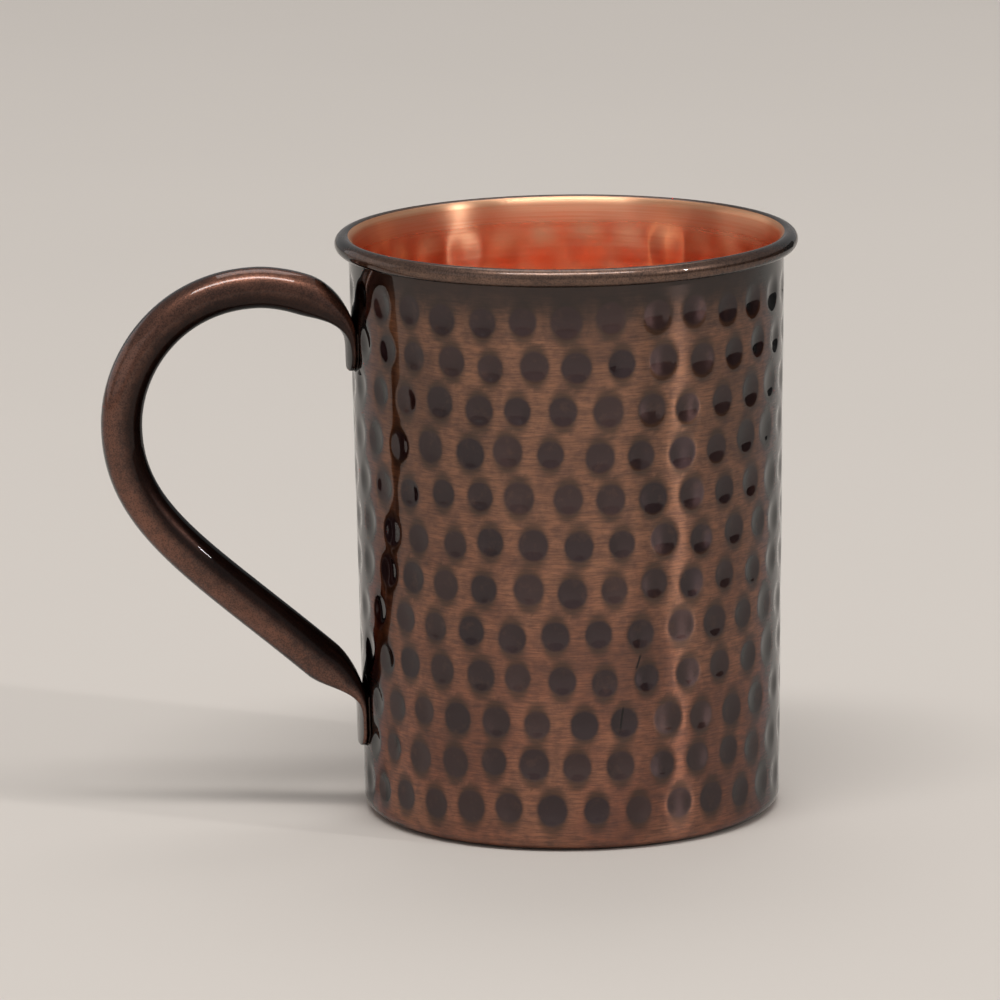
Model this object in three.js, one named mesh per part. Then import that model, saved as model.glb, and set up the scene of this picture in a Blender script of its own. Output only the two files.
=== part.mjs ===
// A hammered copper mug: a cup drawn from one sheet, with its lip curled outward, and a bent tube handle
// whose two flattened ends are brazed to the wall. Millimetres, +Z up. The origin is on the mug's axis,
// on the surface that it stands on, and the handle lies along -X.
import * as THREE from "three";
import { mergeVertices } from "three/addons/utils/BufferGeometryUtils.js";

// ---- Cup ----
const CUP_HEIGHT = 108.4; // standing surface to the top of the lip
const MOUTH_RADIUS = 40.3; // outside of the wall, level with the middle of the curl
const FOOT_RADIUS = 38.8; // outside of the wall, produced down to the standing surface
const SHEET = 0.8; // copper sheet, the same all over the cup
const CORNER_RADIUS = 3; // outside of the turn from base to wall
const CURL_DIAMETER = 3.3; // the lip, curled outward into a roll
const CURL_GAP = 0.3; // between the cut edge of the curl and the wall

// ---- Handle ----
const TUBE_DIAMETER = 8;
const TUBE_WALL = 0.5;
const BEND_OVALITY = 0.37; // what the tube loses in the plane of its bend
const OVAL_TO = 0.5; // share of the handle's line, from the upper tip, that is ovalled in full
const ROUND_FROM = 0.75; // share after which the tube is round again
const TAB_SLIT = 0.15; // what pressing the tube's end flat leaves of its bore
const TAB_CORNER = 3.6; // rounding of the tab's lower corners

const UPPER_TAB_BELOW_LIP = 24.3; // top of the lip to the tip of the upper tab
const UPPER_TAB_LENGTH = 3.9; // its flat stretch along the wall
const LOWER_TAB_ABOVE_FOOT = 13.2; // standing surface to the tip of the lower tab
const LOWER_TAB_LENGTH = 5.8;

const LOOP_TOP_STANDOFF = 17.1; // highest point of the handle, out from the wall
const LOOP_TOP_RISE = 12; // and above the upper tab
const LOOP_REACH = 43.2; // furthest point of the handle, out from the wall
const LOOP_DROP = 25.15; // and below the highest point
const SWEEP_ANGLE = 41.7; // slope of the lower sweep where it nears the wall, degrees
const SWEEP_END_STANDOFF = 7.9; // where the lower sweep starts to turn into its tab, out from the wall
const SWEEP_END_RISE = 10.7; // and above the lower tab

// How far each bend holds the direction that it starts and ends with.
const UPPER_BEND = { tab: 9.8, top: 3.9 };
const LOOP_BEND = { top: 16.2, outside: 12.1 };
const SWEEP_BEND = { outside: 17.3, end: 29.6 };
const LOWER_BEND = { sweep: 3, tab: 3 };

const UPPER_SPREAD = 2.03; // length over which the upper tab opens into the round tube, for each mm it opens
const LOWER_SPREAD = 2.01;

// ---- Braze ----
const BRAZE_THICKNESS = 0.2; // the film of filler between tab and wall
const BRAZE_CLEARANCE = 0.1; // on each side of the film
const BRAZE_INSET = 0.3; // from the tab's edge

// ---- Fineness ----
const TURN_STEPS = 72; // round the cup
const TUBE_SIDES = 20;
const BEND_STEP = 3.2; // between two sections of the handle
const SPREAD_STEP = 1.6; // the same, where its section changes
const BRAZE_COLUMNS = 8; // across a film of braze

const metal = (color, roughness) => new THREE.MeshStandardMaterial({ color, roughness, metalness: 1 });
const COPPER_DARK = metal(0x4a2b20, 0.34);
const COPPER_BROWN = metal(0x54291f, 0.3);
const BRAZE_METAL = metal(0x6b3a26, 0.42);

const deg = THREE.MathUtils.degToRad;
const lerp = THREE.MathUtils.lerp;
const clamp = THREE.MathUtils.clamp;
const smooth = THREE.MathUtils.smoothstep;

// ---- The cup's wall, which everything else is placed from ----
const curlRadius = CURL_DIAMETER / 2;
const curlCoreRadius = curlRadius - SHEET;
const curlHeight = CUP_HEIGHT - curlRadius;
const wallLean = Math.atan2(MOUTH_RADIUS - FOOT_RADIUS, curlHeight);
const wallOutward = new THREE.Vector2(Math.cos(wallLean), -Math.sin(wallLean));

// Outside of the wall at a height.
function wallRadius(height) {
  return lerp(FOOT_RADIUS, MOUTH_RADIUS, height / curlHeight);
}

// Points on an arc in the profile plane, both ends included.
function arc(centre, radius, from, to, steps) {
  return Array.from({ length: steps + 1 }, (_, i) => {
    const angle = lerp(from, to, i / steps);
    return new THREE.Vector2(centre.x + radius * Math.cos(angle), centre.y + radius * Math.sin(angle));
  });
}

// One sheet all the way: up the outside, round the curl, and down the inside.
function cupGeometry() {
  const cornerX = wallRadius(CORNER_RADIUS) - CORNER_RADIUS / Math.cos(wallLean);
  const corner = new THREE.Vector2(cornerX, CORNER_RADIUS);
  const curl = new THREE.Vector2(MOUTH_RADIUS, curlHeight).addScaledVector(wallOutward, curlCoreRadius);
  const rootAngle = Math.PI - wallLean;
  const tipAngle = -Math.PI / 2 - wallLean - Math.asin((curlCoreRadius - CURL_GAP) / curlRadius);
  const profile = [
    new THREE.Vector2(0, 0),
    ...arc(corner, CORNER_RADIUS, -Math.PI / 2, -wallLean, 5),
    ...arc(curl, curlCoreRadius, rootAngle, tipAngle, 8),
    ...arc(curl, curlRadius, tipAngle, Math.PI / 2, 9),
    ...arc(curl, curlRadius, Math.PI / 2, rootAngle, 4).slice(1),
    ...arc(corner, CORNER_RADIUS - SHEET, -wallLean, -Math.PI / 2, 4),
    new THREE.Vector2(0, SHEET),
  ];
  return new THREE.LatheGeometry(profile, TURN_STEPS).rotateX(Math.PI / 2);
}

// ---- The handle's line, in the plane of radius and height ----
const tabThickness = 2 * TUBE_WALL + TAB_SLIT;
const upperSpread = UPPER_SPREAD * (TUBE_DIAMETER - tabThickness);
const lowerSpread = LOWER_SPREAD * (TUBE_DIAMETER - tabThickness);
const point = (radius, height) => new THREE.Vector2(radius, height);

// A point that stands off the wall at a height.
function offWall(height, standoff) {
  return point(wallRadius(height), height).addScaledVector(wallOutward, standoff);
}

// Middle of a tab at a height: it lies on the braze, which lies on the wall.
function tabPoint(height) {
  return offWall(height, BRAZE_THICKNESS + 2 * BRAZE_CLEARANCE + tabThickness / 2);
}

// A bend that leaves one point and arrives at another, holding each direction for a length.
function bend(from, leaving, hold, to, arriving, lastHold) {
  const first = from.clone().addScaledVector(leaving, hold);
  const last = to.clone().addScaledVector(arriving, -lastHold);
  return new THREE.CubicBezierCurve(from, first, last, to);
}

// The middle of the tube, from the tip of the upper tab, over the loop and down the sweep to the other tip.
function handleLine() {
  const upWall = point(Math.sin(wallLean), Math.cos(wallLean));
  const downWall = upWall.clone().negate();
  const out = point(1, 0);
  const down = point(0, -1);
  const downSweep = point(-Math.cos(deg(SWEEP_ANGLE)), -Math.sin(deg(SWEEP_ANGLE)));

  const upperTip = tabPoint(CUP_HEIGHT - UPPER_TAB_BELOW_LIP);
  const upperTop = upperTip.clone().addScaledVector(upWall, UPPER_TAB_LENGTH);
  const topHeight = upperTop.y + LOOP_TOP_RISE;
  const top = point(wallRadius(topHeight) + LOOP_TOP_STANDOFF, topHeight);
  const outsideHeight = topHeight - LOOP_DROP;
  const outside = point(wallRadius(outsideHeight) + LOOP_REACH, outsideHeight);
  const lowerTip = tabPoint(LOWER_TAB_ABOVE_FOOT);
  const lowerTop = lowerTip.clone().addScaledVector(upWall, LOWER_TAB_LENGTH);
  const endHeight = lowerTop.y + SWEEP_END_RISE;
  const sweepEnd = point(wallRadius(endHeight) + SWEEP_END_STANDOFF, endHeight);

  const line = new THREE.CurvePath();
  line.add(new THREE.LineCurve(upperTip, upperTop));
  line.add(bend(upperTop, upWall, UPPER_BEND.tab, top, out, UPPER_BEND.top));
  line.add(bend(top, out, LOOP_BEND.top, outside, down, LOOP_BEND.outside));
  line.add(bend(outside, down, SWEEP_BEND.outside, sweepEnd, downSweep, SWEEP_BEND.end));
  line.add(bend(sweepEnd, downSweep, LOWER_BEND.sweep, lowerTop, downWall, LOWER_BEND.tab));
  line.add(new THREE.LineCurve(lowerTop, lowerTip));
  return line;
}

// A tube that is pressed flat keeps its girth, so its width follows from its thickness.
function pressedWidth(thickness) {
  return thickness + (Math.PI / 2) * (TUBE_DIAMETER - thickness);
}

// What a rounded corner takes off each side of a tab, near its tip.
function cornerTrim(fromTip, corner) {
  const short = corner - clamp(fromTip, 0, corner);
  return corner - Math.sqrt(corner ** 2 - short ** 2);
}

// Distances from a tip that draw its rounded corners.
function cornerStations(corner) {
  return [0, 0.12, 0.4, 0.7, 1].map((share) => share * corner);
}

// The tube's section at a distance along the line: thickness in the plane of the handle, width across it,
// and how much it is curved to lie on the wall. The line's right-hand side faces away from the wall at the
// upper tab and faces the wall at the lower one, so the curve changes sign.
function sectionAt(distance, length) {
  const fromLower = length - distance;
  const upperOpen = smooth(distance, UPPER_TAB_LENGTH, UPPER_TAB_LENGTH + upperSpread);
  const lowerOpen = smooth(fromLower, LOWER_TAB_LENGTH, LOWER_TAB_LENGTH + lowerSpread);
  const open = Math.min(upperOpen, lowerOpen);
  const bent = 1 - smooth(distance, length * OVAL_TO, length * ROUND_FROM);
  const thickness = lerp(tabThickness, TUBE_DIAMETER - BEND_OVALITY * bent, open);
  const trim = cornerTrim(Math.min(distance, fromLower), TAB_CORNER);
  const hug = upperOpen < 1 ? 1 - open : open - 1;
  return { thickness, width: pressedWidth(thickness) - 2 * trim, hug };
}

// Distances along the line at which the tube has a section: close together at the rounded tips and where
// the tube opens, wider apart along the grip.
function handleStations(length) {
  const tips = cornerStations(TAB_CORNER);
  const stretch = (from, to, step) => {
    const count = Math.max(1, Math.round((to - from) / step));
    return Array.from({ length: count }, (_, i) => lerp(from, to, (i + 1) / count));
  };
  const upperEnd = UPPER_TAB_LENGTH + upperSpread;
  const lowerEnd = length - LOWER_TAB_LENGTH - lowerSpread;
  return [
    ...tips,
    ...stretch(TAB_CORNER, upperEnd, SPREAD_STEP),
    ...stretch(upperEnd, lowerEnd, BEND_STEP),
    ...stretch(lowerEnd, length - TAB_CORNER, SPREAD_STEP),
    ...tips.slice(0, -1).reverse().map((distance) => length - distance),
  ];
}

// Gives every vertex of a simple shape a new place, worked out from its old one.
function reshape(geometry, place) {
  const position = geometry.getAttribute("position");
  for (let i = 0; i < position.count; i++) {
    const placed = place(new THREE.Vector3().fromBufferAttribute(position, i));
    position.setXYZ(i, placed.x, placed.y, placed.z);
  }
  geometry.deleteAttribute("normal");
  geometry.deleteAttribute("uv");
  const merged = mergeVertices(geometry, 1e-4);
  merged.computeVertexNormals();
  return merged;
}

// A tube of changing section, turned as a straight ring and then laid along the handle's line. It is open
// from one tab tip to the other.
function handleGeometry() {
  const line = handleLine();
  const length = line.getLength();
  const stations = handleStations(length);
  const outerRing = 2;
  const boreRing = 1;
  const profile = [
    ...stations.map((_, i) => new THREE.Vector2(outerRing, i)),
    ...stations.map((_, i) => new THREE.Vector2(boreRing, i)).reverse(),
    new THREE.Vector2(outerRing, 0),
  ];
  const frames = stations.map((distance) => {
    const share = distance / length;
    const middle = line.getPoint(share);
    const forward = line.getTangent(share);
    return { middle, away: point(forward.y, -forward.x), ...sectionAt(distance, length) };
  });

  return reshape(new THREE.LatheGeometry(profile, TUBE_SIDES), (vertex) => {
    const { middle, away, thickness, width, hug } = frames[Math.round(vertex.y)];
    const angle = Math.atan2(vertex.x, vertex.z);
    const inBore = Math.hypot(vertex.x, vertex.z) < (outerRing + boreRing) / 2;
    const wall = inBore ? TUBE_WALL : 0;
    const flat = (width - thickness) / 2;
    const radius = thickness / 2 - wall;
    const across = flat * clamp(2 * Math.cos(angle), -1, 1) + radius * Math.cos(angle);
    const through = radius * Math.sin(angle);
    // Curved about the cup's axis where it lies on the wall, and straight across where it is round.
    const bendRadius = middle.x / (Math.abs(hug) > 1e-3 ? hug : 1e-3);
    const turn = across / bendRadius;
    const side = (bendRadius + through) * Math.sin(turn);
    const out = (bendRadius + through) * Math.cos(turn) - bendRadius;
    return new THREE.Vector3(-(middle.x + away.x * out), side, middle.y + away.y * out);
  });
}

// ---- The braze under a tab: a film curved to the wall, with the tab's outline set in a little ----
function brazeGeometry(tipHeight, tabLength) {
  const corner = TAB_CORNER - BRAZE_INSET;
  const halfWidth = pressedWidth(tabThickness) / 2 - BRAZE_INSET;
  const rows = [...cornerStations(corner), Math.max(tabLength, corner + BRAZE_INSET)];
  const sheet = new THREE.BoxGeometry(2, rows.length - 1, 1, BRAZE_COLUMNS, rows.length - 1, 1);
  return reshape(sheet, (vertex) => {
    const fromTip = rows[Math.round(vertex.y + (rows.length - 1) / 2)];
    const across = vertex.x * (halfWidth - cornerTrim(fromTip, corner));
    const standoff = BRAZE_CLEARANCE + (vertex.z + 0.5) * BRAZE_THICKNESS;
    const place = offWall(tipHeight + BRAZE_INSET + fromTip, standoff);
    const turn = across / place.x;
    return new THREE.Vector3(-place.x * Math.cos(turn), -place.x * Math.sin(turn), place.y);
  });
}

// ---- Assembly ----
function piece(name, geometry, material) {
  const mesh = new THREE.Mesh(geometry, material);
  mesh.name = name;
  return mesh;
}

const mug = new THREE.Group();
mug.add(piece("cup", cupGeometry(), COPPER_DARK));

const handle = new THREE.Group();
const upperTipHeight = CUP_HEIGHT - UPPER_TAB_BELOW_LIP;
handle.add(piece("handle_tube", handleGeometry(), COPPER_BROWN));
handle.add(piece("upper_braze", brazeGeometry(upperTipHeight, UPPER_TAB_LENGTH), BRAZE_METAL));
handle.add(piece("lower_braze", brazeGeometry(LOWER_TAB_ABOVE_FOOT, LOWER_TAB_LENGTH), BRAZE_METAL));
mug.add(handle);

export default mug;
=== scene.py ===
"""A hammered, antiqued copper mug with a polished inside and a bent tube handle.

The cup is one sheet: base, wall and a lip curled outward. Hammer dents run round the wall in rows, and show
inside as soft bulges. The handle is a tube whose pressed ends are brazed to the wall.
"""

from __future__ import annotations

import logging
import math
from dataclasses import asdict, dataclass, field
from enum import Enum
from typing import Iterable, Sequence

import bpy
from mathutils import Matrix, Vector

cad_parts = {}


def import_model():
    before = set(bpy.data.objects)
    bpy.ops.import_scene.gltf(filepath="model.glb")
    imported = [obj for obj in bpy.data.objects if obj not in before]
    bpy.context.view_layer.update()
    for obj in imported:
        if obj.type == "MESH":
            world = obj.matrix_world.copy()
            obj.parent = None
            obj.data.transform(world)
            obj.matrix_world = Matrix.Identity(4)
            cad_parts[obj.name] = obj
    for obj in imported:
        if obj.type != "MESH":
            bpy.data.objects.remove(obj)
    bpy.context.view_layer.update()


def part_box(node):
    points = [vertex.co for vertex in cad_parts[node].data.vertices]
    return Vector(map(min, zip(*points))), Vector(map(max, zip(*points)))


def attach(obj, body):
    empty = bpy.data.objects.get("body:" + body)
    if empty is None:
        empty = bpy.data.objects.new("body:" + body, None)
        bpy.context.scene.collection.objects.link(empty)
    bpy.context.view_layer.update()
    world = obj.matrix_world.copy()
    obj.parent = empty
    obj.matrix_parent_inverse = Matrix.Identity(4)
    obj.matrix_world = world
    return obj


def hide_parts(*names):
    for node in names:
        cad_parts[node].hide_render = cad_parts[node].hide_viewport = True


LOG = logging.getLogger("copper_mug")
MM = 0.001
PER_METRE = 1000.0
FLOAT = "NodeSocketFloat"

Point2 = tuple[float, float]
Point3 = tuple[float, float, float]
Colour = tuple[float, float, float, float]
# The two ends of a value's range, and how far a tone moves between them.
Tone = tuple[float, float, float]
Socket = bpy.types.NodeSocket
Tree = bpy.types.NodeTree
Material = bpy.types.Material
Piece = bpy.types.Object


class Skin(Enum):
    """Which face of the copper sheet a stretch of the cup belongs to."""

    OUTSIDE = 0
    INSIDE = 1


class Side(Enum):
    """The two ends of the handle, and which way the tube's right-hand side faces there."""

    UPPER = 1
    LOWER = -1


def lerp(start: float, end: float, share: float) -> float:
    """Returns the value a share of the way from start to end."""
    return start + (end - start) * share


def clamp(value: float, low: float = 0.0, high: float = 1.0) -> float:
    """Returns the value, kept between low and high."""
    return max(low, min(high, value))


def smooth(value: float, low: float, high: float) -> float:
    """Returns 0 below low, 1 above high, and a smooth step between them."""
    share = clamp((value - low) / (high - low))
    return share * share * (3 - 2 * share)


def hex_colour(code: str) -> Colour:
    """Turns a colour code into a scene-linear colour.

    Args:
        code: Six hexadecimal digits, sRGB.

    Returns:
        The colour.
    """
    channels = [int(code[i : i + 2], 16) / 255 for i in (0, 2, 4)]
    linear = [c / 12.92 if c <= 0.04045 else ((c + 0.055) / 1.055) ** 2.4 for c in channels]
    return (linear[0], linear[1], linear[2], 1.0)


# Node trees


class Graph:
    """A thin layer over a node tree that adds, sets and links nodes in one call."""

    def __init__(self, tree: Tree) -> None:
        """Wraps a node tree."""
        self.tree = tree

    def add(self, kind: str, inputs: dict | None = None, **settings: object) -> bpy.types.Node:
        """Adds a node.

        Args:
            kind: The node's type name.
            inputs: Socket name or index to a value, or to an output socket to link from.
            **settings: The node's own properties.

        Returns:
            The new node.
        """
        node = self.tree.nodes.new(kind)
        for name, value in settings.items():
            setattr(node, name, value)
        for key, value in (inputs or {}).items():
            self.put(node.inputs[key], value)
        return node

    def put(self, socket: Socket, value: object) -> None:
        """Feeds an input.

        Args:
            socket: The input.
            value: The input's own value, or an output socket to link from.
        """
        if isinstance(value, Socket):
            self.tree.links.new(value, socket)
        else:
            socket.default_value = value

    def math(self, operation: str, *values: object, clamped: bool = False) -> Socket:
        """Returns the result of a Math node."""
        inputs = dict(enumerate(values))
        return self.add("ShaderNodeMath", inputs, operation=operation, use_clamp=clamped).outputs[0]

    def times(self, first: object, second: object) -> Socket:
        """Returns the product of two values."""
        return self.math("MULTIPLY", first, second)

    def plus(self, first: object, second: object) -> Socket:
        """Returns the sum of two values."""
        return self.math("ADD", first, second)

    def minus(self, first: object, second: object) -> Socket:
        """Returns the first value less the second."""
        return self.math("SUBTRACT", first, second)

    def scaled_plus(self, value: object, factor: object, base: object) -> Socket:
        """Returns a value times a factor, added to a base."""
        return self.math("MULTIPLY_ADD", value, factor, base)

    def vector(self, operation: str, *values: object, output: int = 0) -> Socket:
        """Returns one output of a Vector Math node."""
        inputs = dict(enumerate(values))
        return self.add("ShaderNodeVectorMath", inputs, operation=operation).outputs[output]

    def stretched(self, vector: Socket, factor: object) -> Socket:
        """Returns a vector times a number."""
        return self.add("ShaderNodeVectorMath", {0: vector, "Scale": factor}, operation="SCALE").outputs[0]

    def split(self, vector: Socket) -> list[Socket]:
        """Returns the X, Y and Z of a vector."""
        return list(self.add("ShaderNodeSeparateXYZ", {0: vector}).outputs)

    def join(self, x: object, y: object, z: object) -> Socket:
        """Returns a vector made of three values."""
        return self.add("ShaderNodeCombineXYZ", {0: x, 1: y, 2: z}).outputs[0]

    def span(self, value: object, low: float, high: float, to_low: float = 0.0,
             to_high: float = 1.0) -> Socket:
        """Returns a value mapped smoothly from one range to another."""
        inputs = {0: value, 1: low, 2: high, 3: to_low, 4: to_high}
        return self.add("ShaderNodeMapRange", inputs, interpolation_type="SMOOTHSTEP").outputs[0]

    def blend(self, share: object, first: object, second: object) -> Socket:
        """Returns two colours mixed."""
        return self.add("ShaderNodeMix", {0: share, 6: first, 7: second}, data_type="RGBA").outputs[2]

    def tint(self, base: object, toward: object, value: Socket, tone: Tone) -> Socket:
        """Returns a colour moved toward another as a value rises."""
        return self.blend(self.span(value, tone[0], tone[1], 0.0, tone[2]), base, toward)

    def noise(self, vector: object, scale: float, detail: float = 3.0, rough: float = 0.5) -> Socket:
        """Returns the value of a 3D noise."""
        inputs = {"Vector": vector, "Scale": scale, "Detail": detail, "Roughness": rough}
        return self.add("ShaderNodeTexNoise", inputs).outputs[0]

    def place(self) -> Socket:
        """Returns the Object coordinates, in a shader."""
        return self.add("ShaderNodeTexCoord").outputs["Object"]

    def attribute(self, name: str) -> Socket:
        """Returns a stored value, in a shader."""
        return self.add("ShaderNodeAttribute", attribute_name=name).outputs["Fac"]

    def stored(self, name: str) -> Socket:
        """Returns a stored value, in a geometry tree."""
        return self.add("GeometryNodeInputNamedAttribute", {"Name": name}, data_type="FLOAT").outputs[0]

    def group(self, tree: Tree, **values: float) -> bpy.types.NodeOutputs:
        """Places a shared group with its values and returns its outputs."""
        return self.add("ShaderNodeGroup", values, node_tree=tree).outputs


def new_group(name: str, kind: str, inputs: dict[str, tuple], outputs: dict[str, str]) -> tuple:
    """Makes a node group with named sockets.

    Args:
        name: The group's name.
        kind: "ShaderNodeTree" or "GeometryNodeTree".
        inputs: Socket name to (socket type, default or None).
        outputs: Socket name to socket type.

    Returns:
        The graph, the Group Input node's outputs and the Group Output node's inputs.
    """
    tree = bpy.data.node_groups.new(name, kind)
    for socket_name, (socket_kind, default) in inputs.items():
        socket = tree.interface.new_socket(socket_name, in_out="INPUT", socket_type=socket_kind)
        if default is not None:
            socket.default_value = default
    for socket_name, socket_kind in outputs.items():
        tree.interface.new_socket(socket_name, in_out="OUTPUT", socket_type=socket_kind)
    graph = Graph(tree)
    return graph, graph.add("NodeGroupInput").outputs, graph.add("NodeGroupOutput").inputs


def brushed_grain_group() -> Tree:
    """Fine brushing that runs round the mug's axis, as a value about 0.5, and its coarser bands.

    Returns:
        A shader group with Lines and Bands outputs.
    """
    inputs = {"Fineness": (FLOAT, 5.0), "Length": (FLOAT, 0.05)}
    outputs = {"Lines": FLOAT, "Bands": FLOAT}
    graph, given, result = new_group("BrushedGrain", "ShaderNodeTree", inputs, outputs)
    x, y, z = graph.split(graph.stretched(graph.place(), PER_METRE))
    along_x = graph.times(x, given["Length"])
    along_y = graph.times(y, given["Length"])
    up = graph.times(z, given["Fineness"])
    slow = graph.join(graph.times(along_x, 0.5), graph.times(along_y, 0.5), graph.times(up, 0.35))
    graph.put(result["Lines"], graph.noise(graph.join(along_x, along_y, up), 1.0, 4.0, 0.65))
    graph.put(result["Bands"], graph.noise(slow, 1.0, 3.0, 0.6))
    return graph.tree


def patina_group() -> Tree:
    """Uneven antiquing: broad clouds, small mottling, and a fine grain.

    Returns:
        A shader group with Clouds, Mottle and Specks outputs.
    """
    noises = {"Clouds": (0.045, 3.0, 0.55), "Mottle": (0.42, 4.0, 0.6), "Specks": (2.0, 2.0, 0.6)}
    inputs = {"Size": (FLOAT, 1.0)}
    graph, given, result = new_group("Patina", "ShaderNodeTree", inputs, dict.fromkeys(noises, FLOAT))
    size = given["Size"]
    place = graph.stretched(graph.place(), PER_METRE)
    sized = graph.vector("DIVIDE", place, graph.join(size, size, size))
    for name, (scale, detail, rough) in noises.items():
        graph.put(result[name], graph.noise(sized, scale, detail, rough))
    return graph.tree


def scratch_group() -> Tree:
    """A thin scratch on the wall, as a mask.

    Returns:
        A shader group whose inputs say where the scratch is, and how long and how far from upright it is.
    """
    inputs = dict.fromkeys(("Azimuth", "Height", "Length", "Lean"), (FLOAT, 0.0))
    inputs["Wall Radius"] = (FLOAT, 40.0 * MM)
    graph, given, result = new_group("Scratch", "ShaderNodeTree", inputs, {"Mask": FLOAT})
    x, y, z = graph.split(graph.place())
    azimuth = graph.math("ARCTAN2", x, graph.times(y, -1.0))
    beside = graph.times(graph.minus(azimuth, given["Azimuth"]), given["Wall Radius"])
    above = graph.minus(z, given["Height"])
    sine = graph.math("SINE", given["Lean"])
    cosine = graph.math("COSINE", given["Lean"])
    across = graph.minus(graph.times(beside, cosine), graph.times(above, sine))
    along = graph.plus(graph.times(beside, sine), graph.times(above, cosine))
    share = graph.math("DIVIDE", graph.math("ABSOLUTE", along), given["Length"])
    thin = graph.span(graph.math("ABSOLUTE", across), 0.08 * MM, 0.3 * MM, 1.0, 0.0)
    graph.put(result["Mask"], graph.times(thin, graph.span(share, 0.25, 0.5, 1.0, 0.0)))
    return graph.tree


@dataclass
class Effects:
    """The shader groups that the finishes share, each built once, and the cup's height."""

    height: float
    grain: Tree = field(default_factory=brushed_grain_group)
    patina: Tree = field(default_factory=patina_group)
    scratch: Tree = field(default_factory=scratch_group)


# Finishes


DULL_EDGE = hex_colour("4a3f3c")
BRIGHT_EDGE = hex_colour("f4e0d4")


def new_material(name: str, constants: dict[str, object]) -> tuple[Material, Graph, bpy.types.NodeInputs]:
    """Makes a material with its constant values on the shader's own sockets.

    Args:
        name: The material's name.
        constants: Shader socket name to value.

    Returns:
        The material, its graph and its shader's inputs.
    """
    material = bpy.data.materials.new(name)
    material.use_nodes = True
    sockets = material.node_tree.nodes["Principled BSDF"].inputs
    for socket, value in constants.items():
        sockets[socket].default_value = value
    return material, Graph(material.node_tree), sockets


@dataclass(frozen=True)
class CopperFinish:
    """What every copper finish has: two tones, brushing, and how glossy the metal and its lacquer are."""

    name: str
    raised: Colour
    hollow: Colour
    roughness: float
    grain_depth: float
    lacquer: float = 1.0
    lacquer_blur: float = 0.02
    anisotropy: float = 0.0
    edge: Colour = DULL_EDGE

    def paint(self, graph: Graph, effects: Effects) -> dict[str, Socket]:
        """Makes what varies over the surface. Each finish has its own.

        Args:
            graph: The material's graph.
            effects: The shared groups.

        Returns:
            Shader socket name to what feeds it, with the relief under Height.
        """
        raise NotImplementedError(self.name)

    def build(self, effects: Effects) -> Material:
        """Builds the material.

        Args:
            effects: The shared groups.

        Returns:
            The material.
        """
        constants = {
            "Metallic": 1.0,
            "Anisotropic": self.anisotropy,
            "Anisotropic Rotation": 0.25,
            "Coat Weight": self.lacquer,
            "Coat Roughness": self.lacquer_blur,
            "Coat IOR": 1.4,
            "Specular Tint": self.edge,
        }
        material, graph, sockets = new_material(self.name, constants)
        varying = self.paint(graph, effects)
        relief = {"Strength": 1.0, "Distance": self.grain_depth, "Height": varying.pop("Height")}
        varying["Normal"] = graph.add("ShaderNodeBump", relief).outputs[0]
        for socket, value in varying.items():
            graph.put(sockets[socket], value)
        return material


@dataclass(frozen=True)
class Scratch:
    """Where a scratch is on the wall. Radians from the front and from upright, and metres."""

    azimuth: float
    height: float
    length: float
    lean: float


SCRATCHES = (
    Scratch(math.radians(10.3), 35.2 * MM, 3.6 * MM, math.radians(18.0)),
    Scratch(math.radians(5.7), 24.8 * MM, 5.4 * MM, math.radians(7.0)),
)


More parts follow.
